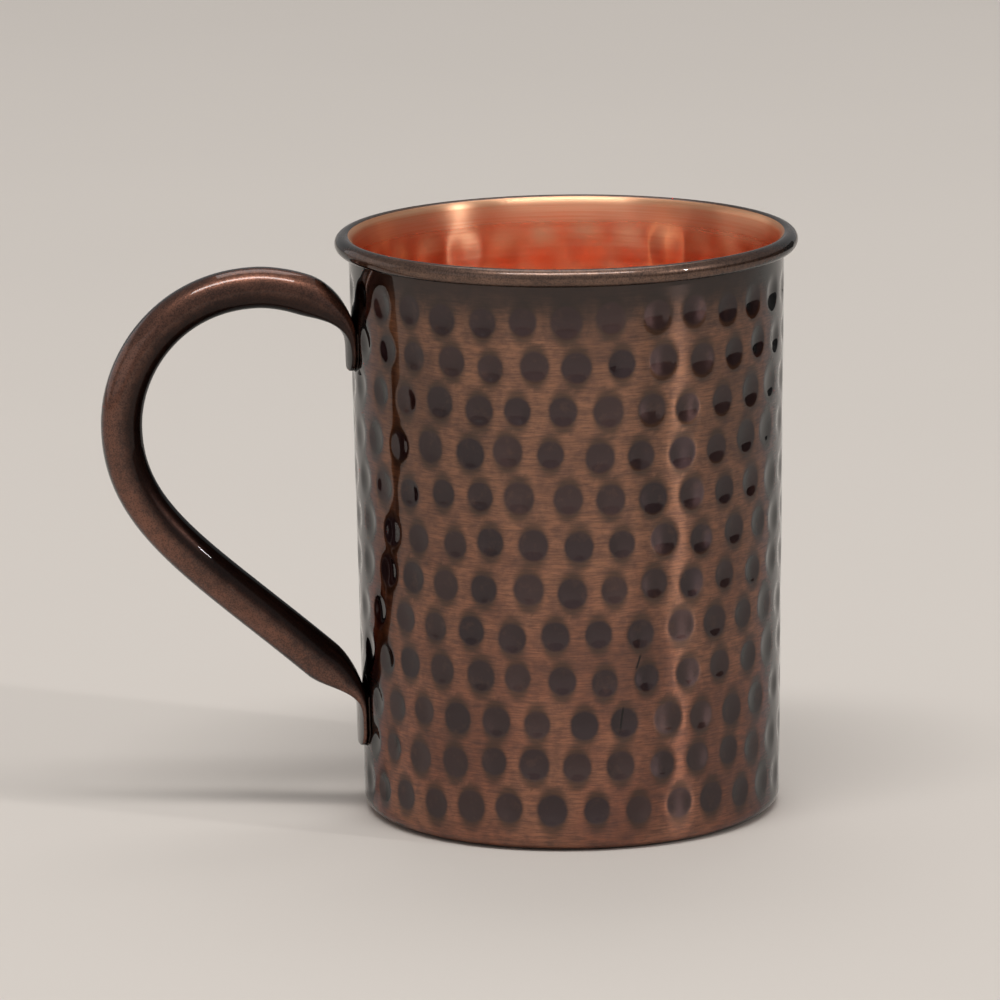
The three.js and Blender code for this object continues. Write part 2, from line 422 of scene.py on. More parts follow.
@dataclass(frozen=True)
class AntiquedWall(CopperFinish):
    """The lacquered outside of the cup: dark in the dents, rubbed back to copper on the raised ground."""

    warm: Colour = hex_colour("ab6a50")
    soot: Colour = hex_colour("3a2d2f")
    olive: Colour = hex_colour("40322a")
    smoke: Colour = hex_colour("382e2b")
    scored: Colour = hex_colour("140e0c")
    banding: Tone = (0.35, 0.75, 0.28)
    clouding: Tone = (0.42, 0.66, 0.4)
    streaking: Tone = (0.36, 0.7, 0.55)
    mottling: Tone = (0.38, 0.75, 0.45)
    pit_glints: Tone = (0.5, 0.8, 0.1)
    scoring: float = 0.9

    def paint(self, graph: Graph, effects: Effects) -> dict[str, Socket]:
        """Makes the ground, its olive rings and smoky top band, the dark dents and the scratches.

        Args:
            graph: The material's graph.
            effects: The shared groups.

        Returns:
            Shader socket name to what feeds it, with the relief under Height.
        """
        grain = graph.group(effects.grain, Fineness=3.4, Length=0.34)
        patina = graph.group(effects.patina, Size=1.0)
        clouds, mottle = patina["Clouds"], patina["Mottle"]
        height = effects.height
        z = graph.split(graph.place())[2]
        lower = graph.span(z, 0.02 * height, 0.8 * height, 1.0, 0.15)
        rubbed = graph.times(lower, graph.span(clouds, 0.3, 0.65, 0.35, 1.0))
        ground = graph.blend(rubbed, self.raised, self.warm)
        ground = graph.tint(ground, self.olive, grain["Bands"], self.banding)
        ground = graph.tint(ground, self.olive, clouds, self.clouding)
        ground = graph.tint(ground, self.hollow, grain["Lines"], self.streaking)
        ground = graph.tint(ground, self.hollow, mottle, self.mottling)
        ragged = graph.scaled_plus(mottle, 0.3, graph.minus(graph.attribute("halo"), 0.15))
        ground = graph.blend(graph.span(ragged, 0.8, 1.4, 0.75, 0.0), ground, self.olive)
        uneven = graph.scaled_plus(mottle, 0.035 * height, z)
        ground = graph.tint(ground, self.smoke, uneven, (0.88 * height, 0.975 * height, 0.92))

        pit = graph.blend(graph.attribute("tone"), self.hollow, self.soot)
        pit = graph.tint(pit, self.raised, mottle, self.pit_glints)
        rim = graph.scaled_plus(mottle, 0.16, graph.minus(graph.attribute("spread"), 0.08))
        pressed = graph.span(rim, 0.84, 1.1, 1.0, 0.0)
        colour = graph.blend(pressed, ground, pit)
        for scratch in SCRATCHES:
            values = {name.title(): value for name, value in asdict(scratch).items()}
            mask = graph.group(effects.scratch, **values)["Mask"]
            colour = graph.blend(graph.times(mask, self.scoring), colour, self.scored)
        rough = graph.scaled_plus(pressed, 0.05, self.roughness)
        rough = graph.scaled_plus(grain["Bands"], 0.1, rough)
        return {"Base Color": colour, "Roughness": rough, "Height": grain["Lines"]}


@dataclass(frozen=True)
class PolishedInside(CopperFinish):
    """The bright inside of the cup, with fine turning marks, which turns satin at the mouth."""

    streaking: Tone = (0.25, 0.8, 0.55)
    clouding: Tone = (0.3, 0.75, 0.4)
    satin: float = 0.18

    def paint(self, graph: Graph, effects: Effects) -> dict[str, Socket]:
        """Makes the turning marks, the clouds and the satin mouth.

        Args:
            graph: The material's graph.
            effects: The shared groups.

        Returns:
            Shader socket name to what feeds it, with the relief under Height.
        """
        grain = graph.group(effects.grain, Fineness=3.2, Length=0.03)
        patina = graph.group(effects.patina, Size=1.6)
        colour = graph.tint(self.raised, self.hollow, grain["Lines"], self.streaking)
        colour = graph.tint(colour, self.hollow, patina["Clouds"], self.clouding)
        z = graph.split(graph.place())[2]
        satin = graph.span(z, 0.93 * effects.height, 0.99 * effects.height, 0.0, self.satin)
        rough = graph.scaled_plus(grain["Bands"], 0.14, self.roughness - 0.07)
        return {"Base Color": colour, "Roughness": graph.plus(rough, satin), "Height": grain["Lines"]}


@dataclass(frozen=True)
class AntiquedTube(CopperFinish):
    """The lacquered handle, the roll of the lip and the braze: mottled, with a fine grain."""

    mottling: float = 0.8
    size: float = 0.6
    dark_specks: Tone = (0.5, 0.62, 0.6)

    def paint(self, graph: Graph, effects: Effects) -> dict[str, Socket]:
        """Makes the mottling and the specks.

        Args:
            graph: The material's graph.
            effects: The shared groups.

        Returns:
            Shader socket name to what feeds it, with the relief under Height.
        """
        patina = graph.group(effects.patina, Size=self.size)
        clouds = graph.span(patina["Clouds"], 0.35, 0.65)
        mottle = graph.span(patina["Mottle"], 0.35, 0.7)
        share = graph.scaled_plus(clouds, 0.5, graph.times(mottle, 0.5))
        colour = graph.blend(graph.times(share, self.mottling), self.raised, self.hollow)
        colour = graph.tint(colour, self.hollow, patina["Specks"], self.dark_specks)
        colour = graph.blend(graph.span(patina["Specks"], 0.36, 0.46, 0.6, 0.0), colour, self.raised)
        rough = graph.scaled_plus(patina["Mottle"], 0.16, self.roughness - 0.08)
        return {"Base Color": colour, "Roughness": rough, "Height": patina["Specks"]}


@dataclass(frozen=True)
class PaintedShadeTube(AntiquedTube):
    """The handle's finish: antiqued mottling, and painted shade on the inside of the bend, which faces the dark
    wall.
    """

    # Painted shade on the inside of the bend, where the tube faces the dark wall: its colour, how far it goes,
    # and the thinner lacquer under it.
    soot: Colour = hex_colour("1d1514")
    sooty_share: float = 0.88
    sooty_lacquer: float = 0.45

    def paint(self, graph: Graph, effects: Effects) -> dict[str, Socket]:
        """Adds painted shade on the inside of the bend, which dulls the lacquer too.

        Args:
            graph: The material's graph.
            effects: The shared groups.

        Returns:
            Shader socket name to what feeds it, with the relief under Height.
        """
        varying = super().paint(graph, effects)
        mottle = graph.group(effects.patina, Size=1.4)["Mottle"]
        # Painted shade on the inside of the bend, with a ragged edge; the lacquer is thinned under it too.
        ragged = graph.scaled_plus(mottle, 0.5, graph.minus(graph.attribute("inward"), 0.25))
        painted_shade_mask = graph.span(ragged, -0.5, 0.38, 0.0, self.sooty_share)
        varying["Base Color"] = graph.blend(painted_shade_mask, varying["Base Color"], self.soot)
        varying["Coat Weight"] = graph.span(painted_shade_mask, 0.2, self.sooty_share, self.lacquer, self.sooty_lacquer)
        return varying


WALL_FINISH = AntiquedWall(
    "antiqued_wall", hex_colour("a27357"), hex_colour("4a3735"), roughness=0.29, grain_depth=0.02 * MM,
    anisotropy=1.0
)
INSIDE_FINISH = PolishedInside(
    "polished_inside", hex_colour("ffd2ac"), hex_colour("f09c6e"), roughness=0.21, grain_depth=0.01 * MM,
    lacquer=0.0, anisotropy=0.95, edge=BRIGHT_EDGE
)
LIP_FINISH = AntiquedTube(
    "antiqued_lip", hex_colour("7c6051"), hex_colour("40332e"), roughness=0.38, grain_depth=0.006 * MM,
    lacquer=0.8
)
# The handle's finish carries painted shade on the inside of the bend.
HANDLE_FINISH = PaintedShadeTube(
    "antiqued_tube", hex_colour("7d5342"), hex_colour("3a2822"), roughness=0.36, grain_depth=0.01 * MM
)
BRAZE_FINISH = AntiquedTube(
    "antiqued_braze", hex_colour("3f302a"), hex_colour("201816"), roughness=0.5, grain_depth=0.02 * MM,
    lacquer=0.3, lacquer_blur=0.1
)


# Mesh helpers


def new_object(name: str, data: bpy.types.ID) -> Piece:
    """Adds an object to the scene.

    Args:
        name: Its name.
        data: Its mesh, light or camera.

    Returns:
        The object.
    """
    made = bpy.data.objects.new(name, data)
    bpy.context.scene.collection.objects.link(made)
    return made


def new_piece(name: str, points: Sequence[Point3], faces: Sequence[Sequence[int]],
              materials: Sequence[Material], slots: Sequence[int] | None = None) -> Piece:
    """Makes a smooth-shaded mesh object at the origin.

    Args:
        name: The piece's name.
        points: Its vertices, in metres in the part's frame.
        faces: Vertex indices, counter-clockwise seen from outside.
        materials: Its materials.
        slots: The material index of each face, or None for all 0.

    Returns:
        The object, linked to the scene.
    """
    mesh = bpy.data.meshes.new(name)
    mesh.from_pydata(points, [], faces)
    for material in materials:
        mesh.materials.append(material)
    if slots is not None:
        mesh.polygons.foreach_set("material_index", slots)
    mesh.polygons.foreach_set("use_smooth", [True] * len(faces))
    mesh.update()
    return new_object(name, mesh)


def grid_faces(rows: int, columns: int, closed_rows: bool = False) -> list[tuple[int, int, int, int]]:
    """Makes the faces of a grid whose columns run round and close on themselves.

    Args:
        rows: How many rows of points there are.
        columns: How many points a row has.
        closed_rows: Whether the last row joins the first.

    Returns:
        The quads, as vertex indices.
    """
    count = rows if closed_rows else rows - 1
    faces = []
    for row in range(count):
        above = (row + 1) % rows
        for column in range(columns):
            beside = (column + 1) % columns
            low, high = row * columns, above * columns
            faces.append((low + column, low + beside, high + beside, high + column))
    return faces


def add_attribute(piece: Piece, name: str, values: Sequence[float]) -> None:
    """Stores one value a vertex on a piece's mesh."""
    piece.data.attributes.new(name, "FLOAT", "POINT").data.foreach_set("value", values)


# Cup


@dataclass
class CupWall:
    """The cup's profile, which the handle and the braze are placed from too. Metres."""

    height: float
    lip_radius: float
    sheet: float = 0.8 * MM
    foot_radius: float = 38.8 * MM
    corner_radius: float = 3.0 * MM
    curl_diameter: float = 3.3 * MM
    curl_gap: float = 0.12 * MM

    def __post_init__(self) -> None:
        """Works out the wall's lean and the middle of the curl."""
        self.curl_radius = self.curl_diameter / 2
        self.curl_core = self.curl_radius - self.sheet
        self.curl_height = self.height - self.curl_radius
        self.mouth_radius = self.lip_radius - self.curl_radius - self.curl_core
        self.lean = math.atan2(self.mouth_radius - self.foot_radius, self.curl_height)
        self.outward = (math.cos(self.lean), -math.sin(self.lean))

    def radius(self, height: float) -> float:
        """Returns the outside of the wall at a height."""
        return lerp(self.foot_radius, self.mouth_radius, height / self.curl_height)

    def off_wall(self, height: float, standoff: float) -> Point2:
        """Returns the radius and height of a point that stands off the wall."""
        return (self.radius(height) + self.outward[0] * standoff, height + self.outward[1] * standoff)


@dataclass
class HammerRows:
    """The rows of dents. Metres, and counts."""

    rows: int = 12
    around: int = 31
    first_height: float = 7.6 * MM
    pitch: float = 8.27 * MM
    dent_radius: float = 2.66 * MM
    dish_radius: float = 4.3 * MM
    depth: float = 0.36 * MM
    jitter: float = 0.5 * MM
    waviness: float = 0.06 * MM
    seed: int = 7


@dataclass(frozen=True)
class DentForm:
    """How the dents differ, and the shape of one. Shares, but for the waves, which are counted in a metre."""

    sizes: Point2 = (0.9, 1.08)
    forces: Point2 = (0.82, 1.15)
    drift: float = 0.22
    swell: float = 0.7
    bulge: float = 1.1
    edge_softness: float = 0.035
    dent_stretch: Point3 = (0.97, 0.97, 0.92)
    halo_stretch: Point3 = (1.12, 1.12, 0.66)
    waves: float = 85.0


@dataclass
class Cup:
    """The drawn, curled and hammered cup."""

    wall: CupWall
    hammer: HammerRows
    form: DentForm = DentForm()
    columns: int = 432
    outer_rows: int = 124
    inner_rows: int = 60

    def profile(self) -> list[tuple[float, float, float, Skin]]:
        """Returns the profile from the middle of the base, up the outside, over the lip and down the inside.

        Returns:
            A list of (radius, height, share of the dents' depth, skin of the face that starts there).
        """
        wall = self.wall
        corner_x = wall.radius(wall.corner_radius) - wall.corner_radius / math.cos(wall.lean)
        corner = (corner_x, wall.corner_radius)
        curl = (wall.mouth_radius + wall.outward[0] * wall.curl_core,
                wall.curl_height + wall.outward[1] * wall.curl_core)
        root = math.pi - wall.lean
        tip = -math.pi / 2 - wall.lean - math.asin((wall.curl_core - wall.curl_gap) / wall.curl_radius)

        def arc(centre: Point2, radius: float, start: float, end: float, steps: int) -> list[Point2]:
            """Returns points on an arc, both ends included."""
            angles = [lerp(start, end, i / steps) for i in range(steps + 1)]
            return [(centre[0] + radius * math.cos(a), centre[1] + radius * math.sin(a)) for a in angles]

        def run(points: Iterable[Point2], share: float, skin: Skin) -> list[tuple]:
            """Gives a run of points their share of the dents and their skin."""
            return [(r, z, share, skin) for r, z in points]

        base = [(corner[0] * share, 0.0) for share in (0.5, 0.93)]
        outside_start = corner[1] - wall.corner_radius * math.sin(wall.lean)
        levels = [lerp(outside_start, wall.curl_height, i / self.outer_rows) for i in range(1, self.outer_rows)]
        outer = [(wall.radius(z), z) for z in levels]
        core = arc(curl, wall.curl_core, root, tip, 8)
        roll = arc(curl, wall.curl_radius, tip, root, 20)
        inner_low = corner[1] - (wall.corner_radius - wall.sheet) * math.sin(wall.lean)
        levels = [lerp(wall.curl_height, inner_low, i / self.inner_rows) for i in range(1, self.inner_rows)]
        inner = [(wall.radius(z) - wall.sheet / math.cos(wall.lean), z) for z in levels]
        inner_corner = arc(corner, wall.corner_radius - wall.sheet, -wall.lean, -math.pi / 2, 5)
        floor = [(corner[0] * share, wall.sheet) for share in (0.93, 0.7, 0.35)]
        return [
            *run(base, 0.0, Skin.OUTSIDE),
            *run(arc(corner, wall.corner_radius, -math.pi / 2, -wall.lean, 7), 0.0, Skin.OUTSIDE),
            *run(outer, 1.0, Skin.OUTSIDE),
            *run(core, 0.0, Skin.OUTSIDE),
            *run(roll[:16], 0.0, Skin.OUTSIDE),
            *run(roll[16:], 0.0, Skin.INSIDE),
            *run(inner, 0.98, Skin.INSIDE),
            *run(inner_corner, 0.0, Skin.INSIDE),
            *run(floor, 0.0, Skin.INSIDE),
        ]

    def turned(self, materials: Sequence[Material]) -> Piece:
        """Turns the profile into one closed mesh that carries the dents' share at each vertex.

        Args:
            materials: The outside's and the inside's finish.

        Returns:
            The smooth cup.
        """
        profile = self.profile()
        turns = [2 * math.pi * i / self.columns for i in range(self.columns)]
        points = [(r * math.cos(a), r * math.sin(a), z) for r, z, _, _ in profile for a in turns]
        shares = [share for _, _, share, _ in profile for _ in turns]
        faces: list[tuple[int, ...]] = list(grid_faces(len(profile), self.columns))
        slots = [profile[row][3].value for row in range(len(profile) - 1) for _ in turns]
        for pole, ring, turn in ((0.0, 0, 1), (self.wall.sheet, len(profile) - 1, -1)):
            points.append((0.0, 0.0, pole))
            shares.append(0.0)
            start = ring * self.columns
            for column in range(self.columns):
                edge = (start + (column + 1) % self.columns, start + column)
                faces.append((len(points) - 1, *edge[::turn]))
                slots.append(profile[ring][3].value)
        piece = new_piece("cup_shell", points, faces, materials, slots)
        add_attribute(piece, "share", shares)
        add_attribute(piece, "soft", [1.0 if 0.0 < share < 1.0 else 0.0 for share in shares])
        lining = piece.data.attributes.new("lining", "FLOAT", "FACE")
        lining.data.foreach_set("value", [float(slot) for slot in slots])
        return piece

    def numbers(self) -> dict[str, float]:
        """Names the tree's sizes and counts, such as First Height for first_height.

        Returns:
            Input name to value.
        """
        rows = {name.replace("_", " ").title(): value for name, value in asdict(self.hammer).items()}
        rows["Wall Radius"] = self.wall.radius(self.wall.height / 2)
        rows["Lip Height"] = self.wall.curl_height - self.wall.curl_radius * 1.02
        return rows

    def dent_tree(self) -> Tree:
        """Builds the tree that lays out the dents by rule and presses them into the wall.

        Returns:
            A geometry node tree with named inputs for its sizes and its seed.
        """
        inputs: dict[str, tuple] = {"Geometry": ("NodeSocketGeometry", None)}
        for name, value in self.numbers().items():
            inputs[name] = ("NodeSocketInt" if isinstance(value, int) else FLOAT, value)
        inputs.update(dict.fromkeys(("Outside", "Lip", "Inside"), ("NodeSocketMaterial", None)))
        outputs = {"Geometry": "NodeSocketGeometry"}
        graph, given, result = new_group("HammeredWall", "GeometryNodeTree", inputs, outputs)
        graph.tree.is_modifier = True
        form = self.form
        radius = given["Wall Radius"]

        def chance(low: float, high: float, offset: int) -> Socket:
            """Returns a seeded random value for each point."""
            limits = {2: low, 3: high, "Seed": graph.plus(given["Seed"], float(offset))}
            return graph.add("FunctionNodeRandomValue", limits, data_type="FLOAT").outputs[1]

        index = graph.add("GeometryNodeInputIndex").outputs[0]
        row = graph.math("FLOOR", graph.math("DIVIDE", index, given["Around"]))
        column = graph.math("FLOORED_MODULO", index, given["Around"])
        stagger = graph.times(graph.math("MODULO", row, 2.0), 0.5)
        drift = graph.math("SINE", graph.scaled_plus(row, 1.7, 0.6))
        step = graph.plus(graph.plus(column, stagger), graph.times(drift, form.drift))
        shift = graph.math("DIVIDE", graph.times(chance(-1.0, 1.0, 1), given["Jitter"]), radius)
        angle = graph.scaled_plus(step, graph.math("DIVIDE", math.tau, given["Around"]), shift)
        wander = graph.times(chance(-1.0, 1.0, 2), given["Jitter"])
        swell = graph.math("SINE", graph.scaled_plus(angle, 3.0, row))
        swell = graph.times(swell, graph.times(given["Jitter"], form.swell))
        level = graph.scaled_plus(row, given["Pitch"], given["First Height"])
        level = graph.plus(level, graph.plus(wander, swell))
        spot = graph.join(graph.times(graph.math("COSINE", angle), radius),
                          graph.times(graph.math("SINE", angle), radius), level)
        count = graph.times(given["Rows"], given["Around"])
        centres = graph.add("GeometryNodePoints", {"Count": count, "Position": spot}).outputs[0]

        x, y, z = graph.split(graph.add("GeometryNodeInputPosition").outputs[0])
        flat = graph.vector("NORMALIZE", graph.join(x, y, 0.0))
        on_wall = graph.vector("ADD", graph.stretched(flat, radius), graph.join(0.0, 0.0, z))
        nearest = graph.add("GeometryNodeSampleNearest", {"Geometry": centres, "Sample Position": on_wall})

        def sampled(value: Socket, kind: str) -> Socket:
            """Returns a value of the nearest dent."""
            inputs = {"Geometry": centres, "Value": value, "Index": nearest.outputs[0]}
            return graph.add("GeometryNodeSampleIndex", inputs, data_type=kind).outputs[0]

        def far(stretch: Point3) -> Socket:
            """Returns how far a point is from its dent's middle, by the dent's own size and a stretch."""
            length = graph.vector("LENGTH", graph.vector("MULTIPLY", apart, stretch), output=1)
            return graph.math("DIVIDE", length, size)

        centre = sampled(graph.add("GeometryNodeInputPosition").outputs[0], "FLOAT_VECTOR")
        size = sampled(chance(*form.sizes, 3), "FLOAT")
        force = sampled(chance(*form.forces, 4), "FLOAT")
        tone = sampled(chance(0.0, 1.0, 5), "FLOAT")
        apart = graph.vector("SUBTRACT", on_wall, centre)
        distance = far(form.dent_stretch)

        ratio = graph.math("DIVIDE", distance, given["Dent Radius"])
        dip = graph.minus(1.0, graph.math("POWER", ratio, 2.0))
        edge = graph.math("SQRT", graph.plus(graph.math("POWER", dip, 2.0), form.edge_softness))
        dish = graph.times(graph.plus(dip, edge), 0.5)
        reach = graph.math("DIVIDE", distance, given["Dish Radius"], clamped=True)
        bulge = graph.math("POWER", graph.minus(1.0, graph.math("POWER", reach, 2.0)), 2.0)
        bulge = graph.times(bulge, form.bulge)
        bowl = graph.plus(graph.times(graph.stored("soft"), graph.minus(bulge, dish)), dish)
        waves = graph.add("ShaderNodeTexNoise", {"Vector": on_wall, "Scale": form.waves, "Detail": 1.0})
        press = graph.times(graph.times(bowl, force), given["Depth"])
        press = graph.scaled_plus(waves.outputs[0], given["Waviness"], press)
        push = graph.times(press, graph.stored("share"))

        mesh = given["Geometry"]
        halo = graph.math("DIVIDE", far(form.halo_stretch), given["Dent Radius"])
        for name, value in {"spread": ratio, "halo": halo, "tone": tone}.items():
            inputs = {"Geometry": mesh, "Name": name, "Value": value}
            kept = graph.add("GeometryNodeStoreNamedAttribute", inputs, data_type="FLOAT", domain="POINT")
            mesh = kept.outputs[0]
        offset = graph.stretched(flat, graph.times(push, -1.0))
        mesh = graph.add("GeometryNodeSetPosition", {"Geometry": mesh, "Offset": offset}).outputs[0]

        inside = graph.math("GREATER_THAN", graph.stored("lining"), 0.5)
        lip = graph.times(graph.math("GREATER_THAN", z, given["Lip Height"]), graph.minus(1.0, inside))
        mesh = graph.add("GeometryNodeRealizeInstances", {0: mesh}).outputs[0]
        for name, chosen in {"Outside": True, "Inside": inside, "Lip": lip}.items():
            inputs = {"Geometry": mesh, "Selection": chosen, "Material": given[name]}
            mesh = graph.add("GeometryNodeSetMaterial", inputs).outputs[0]
        graph.put(result["Geometry"], mesh)
        return graph.tree

    def build(self, outside: Material, lip: Material, inside: Material) -> Piece:
        """Builds the cup as one finished mesh.

        Args:
            outside: The wall's and the base's finish.
            lip: The roll's finish.
            inside: The polished finish.

        Returns:
            The piece.
        """
        values = {**self.numbers(), "Outside": outside, "Lip": lip, "Inside": inside}
        return applied(self.turned([outside, inside]), self.dent_tree(), values, "cup_shell_hammered")


def applied(source: Piece, tree: Tree, values: dict[str, object],
            name: str) -> Piece:
    """Runs a geometry node tree over an object and keeps the result as a plain mesh.

    Args:
        source: The object that the tree reads. It is removed.
        tree: The tree.
        values: The tree's named inputs.
        name: The finished piece's name.

    Returns:
        The finished piece, with no modifier.
    """
    modifier = source.modifiers.new("shape", "NODES")
    modifier.node_group = tree
    sockets = {item.name: item.identifier for item in tree.interface.items_tree if item.in_out == "INPUT"}
    for key, value in values.items():
        modifier[sockets[key]] = value
    bpy.context.view_layer.update()
    evaluated = source.evaluated_get(bpy.context.evaluated_depsgraph_get())
    mesh = bpy.data.meshes.new_from_object(evaluated)
    mesh.name = name
    source.modifiers.remove(modifier)
    bpy.data.objects.remove(source)
    return new_object(name, mesh)


# Handle and braze


@dataclass
class HandleTube:
    """The bent tube with its two pressed ends. Metres."""

    wall: CupWall
    diameter: float = 8.0 * MM
    tube_wall: float = 0.5 * MM
    slit: float = 0.06 * MM
    ovality: float = 0.37 * MM
    tab_corner: float = 3.6 * MM
    braze: float = 0.06 * MM
    upper_below_lip: float = 24.3 * MM
    upper_length: float = 5.2 * MM
    upper_flat: float = 3.3 * MM
    lower_above_foot: float = 13.2 * MM
    lower_length: float = 7.54 * MM
    lower_flat: float = 5.67 * MM
    top_standoff: float = 17.1 * MM
    top_rise: float = 10.56 * MM
    reach: float = 43.14 * MM
    drop: float = 25.15 * MM
    sweep_angle: float = math.radians(41.7)
    sweep_standoff: float = 7.9 * MM
    sweep_rise: float = 8.92 * MM
    upper_spread: float = 2.19
    lower_spread: float = 1.93
    # How far each bend holds its first direction and its last, from the upper tab to the lower one.
    upper_holds: Point2 = (8.1 * MM, 4.35 * MM)
    outer_holds: Point2 = (16.2 * MM, 12.1 * MM)
    lower_holds: Point2 = (17.3 * MM, 29.6 * MM)
    sweep_holds: Point2 = (3.13 * MM, 3.73 * MM)
    bend_steps: int = 160
    sides: int = 64
    step: float = 0.8 * MM

    def __post_init__(self) -> None:
        """Works out the pressed thickness and the line."""
        self.tab_thickness = 2 * self.tube_wall + self.slit
        self.tab_width = self.pressed_width(self.tab_thickness)
        self.line = self.centre_line()
        self.distances = [0.0]
        for first, second in zip(self.line, self.line[1:]):
            self.distances.append(self.distances[-1] + math.dist(first, second))
        self.length = self.distances[-1]

    def pressed_width(self, thickness: float) -> float:
        """Returns the width of the tube pressed to a thickness, which keeps its girth."""
        return thickness + math.pi / 2 * (self.diameter - thickness)

    def tab_point(self, height: float) -> Point2:
        """Returns the middle of a tab at a height."""
        return self.wall.off_wall(height, self.braze + self.tab_thickness / 2)

    def centre_line(self) -> list[Point2]:
        """Lays out the tube's middle.

        Returns:
            Close points from the upper tip to the lower one, as radius and height.
        """
        wall = self.wall
        up_wall = Vector((math.sin(wall.lean), math.cos(wall.lean)))
        out = Vector((1.0, 0.0))
        down = Vector((0.0, -1.0))
        sweep = Vector((-math.cos(self.sweep_angle), -math.sin(self.sweep_angle)))
        upper_tip = Vector(self.tab_point(wall.height - self.upper_below_lip))
        upper_top = upper_tip + up_wall * self.upper_length
        top_height = upper_top.y + self.top_rise
        top = Vector((wall.radius(top_height) + self.top_standoff, top_height))
        outside_height = top_height - self.drop
        outside = Vector((wall.radius(outside_height) + self.reach, outside_height))
        lower_tip = Vector(self.tab_point(self.lower_above_foot))
        lower_top = lower_tip + up_wall * self.lower_length
        end_height = lower_top.y + self.sweep_rise
        sweep_end = Vector((wall.radius(end_height) + self.sweep_standoff, end_height))

        def bend(start: Vector, leaving: Vector, end: Vector, arriving: Vector,
                 holds: Point2) -> list[Vector]:
            """Bends the line from one direction to another.

            Args:
                start: Where it starts.
                leaving: Its direction there.
                end: Where it ends.
                arriving: Its direction there.
                holds: How far it holds each direction.

            Returns:
                The points after the start.
            """
            first, last = start + leaving * holds[0], end - arriving * holds[1]
            points = []
            for i in range(1, self.bend_steps + 1):
                t = i / self.bend_steps
                u = 1 - t
                points.append(start * u**3 + first * 3 * u * u * t + last * 3 * u * t * t + end * t**3)
            return points

        points = [upper_tip, upper_top]
        points += bend(upper_top, up_wall, top, out, self.upper_holds)
        points += bend(top, out, outside, down, self.outer_holds)
        points += bend(outside, down, sweep_end, sweep, self.lower_holds)
        points += bend(sweep_end, sweep, lower_top, -up_wall, self.sweep_holds)
        points.append(lower_tip)
        return [tuple(p) for p in points]

    def at(self, distance: float) -> tuple[Vector, Vector]:
        """Finds the middle of the tube.

        Args:
            distance: How far along it, from the upper tip.

        Returns:
            The middle, and the direction there.
        """
        index = 0
        low, high = 0, len(self.distances) - 2
        while low <= high:
            index = (low + high) // 2
            if self.distances[index + 1] < distance:
                low = index + 1
            elif self.distances[index] > distance:
                high = index - 1
            else:
                break
        first, second = Vector(self.line[index]), Vector(self.line[index + 1])
        share = (distance - self.distances[index]) / (self.distances[index + 1] - self.distances[index])
        return first.lerp(second, clamp(share)), (second - first).normalized()

    def section(self, distance: float) -> tuple[float, float, float]:
        """Works out the tube's section.

        Args:
            distance: How far along it, from the upper tip.

        Returns:
            Its thickness, its width, and how far it is curved to the wall, with its sign.
        """
        from_lower = self.length - distance
        opening = self.diameter - self.tab_thickness
        upper = smooth(distance, self.upper_flat, self.upper_flat + self.upper_spread * opening)
        lower = smooth(from_lower, self.lower_flat, self.lower_flat + self.lower_spread * opening)
        opened = min(upper, lower)
        bent = 1 - smooth(distance, self.length * 0.5, self.length * 0.75)
        thickness = lerp(self.tab_thickness, self.diameter - self.ovality * bent, opened)
        tip = clamp(min(distance, from_lower), 0.0, self.tab_corner)
        trim = self.tab_corner - math.sqrt(self.tab_corner**2 - (self.tab_corner - tip) ** 2)
        side = Side.UPPER if upper < 1 else Side.LOWER
        return thickness, self.pressed_width(thickness) - 2 * trim, (1 - opened) * side.value

    def stations(self) -> list[float]:
        """Spaces the sections, closest together at the rounded tips.

        Returns:
            The distances from the upper tip.
        """
        tips = [self.tab_corner * (1 - math.cos(math.pi / 2 * i / 14)) for i in range(15)]
        middle = self.length - 2 * self.tab_corner
        count = round(middle / self.step)
        straight = [self.tab_corner + middle * i / count for i in range(1, count)]
        return [*tips, *straight, *[self.length - tip for tip in reversed(tips)]]

    def smoothed_directions(self, stations: Sequence[float]) -> list[Vector]:
        """Takes the direction of the line over a short stretch on both sides of each station.

        Args:
            stations: The distances from the upper tip.

        Returns:
            The directions.
        """
        reach = 0.5 * MM
        directions = []
        for distance in stations:
            before, _ = self.at(max(0.0, distance - reach))
            after, _ = self.at(min(self.length, distance + reach))
            directions.append((after - before).normalized())
        return directions

    def build(self, material: Material) -> Piece:
        """Builds the tube, open from one tip to the other.

        Args:
            material: Its finish.

        Returns:
            The piece.
        """
        stations = self.stations()
        directions = self.smoothed_directions(stations)
        rings: list[list[Point3]] = []
        for inset in (0.0, self.tube_wall):
            for distance, forward in zip(stations, directions):
                middle, _ = self.at(distance)
                thickness, width, hug = self.section(distance)
                away = Vector((forward.y, -forward.x))
                flat = (width - thickness) / 2
                radius = thickness / 2 - inset
                bend = middle.x / (hug if abs(hug) > 1e-3 else 1e-3)
                ring = []
                for i in range(self.sides):
                    angle = 2 * math.pi * i / self.sides
                    across = flat * clamp(2 * math.cos(angle), -1, 1) + radius * math.cos(angle)
                    through = radius * math.sin(angle)
                    turn = across / bend
                    side = (bend + through) * math.sin(turn)
                    out = (bend + through) * math.cos(turn) - bend
                    ring.append((-(middle.x + away.x * out), side, middle.y + away.y * out))
                rings.append(ring)
        half = len(stations)
        ordered = rings[:half] + rings[half:][::-1]
        points = [point for ring in ordered for point in ring]
        piece = new_piece("handle_tube_bent", points, grid_faces(len(ordered), self.sides, True), [material])
        # How far each point faces the inside of the bend; the handle's finish paints shade there.
        outer = [math.sin(2 * math.pi * i / self.sides) for i in range(self.sides)]
        add_attribute(piece, "inward", outer * half + [1.0] * self.sides * half)
        return piece


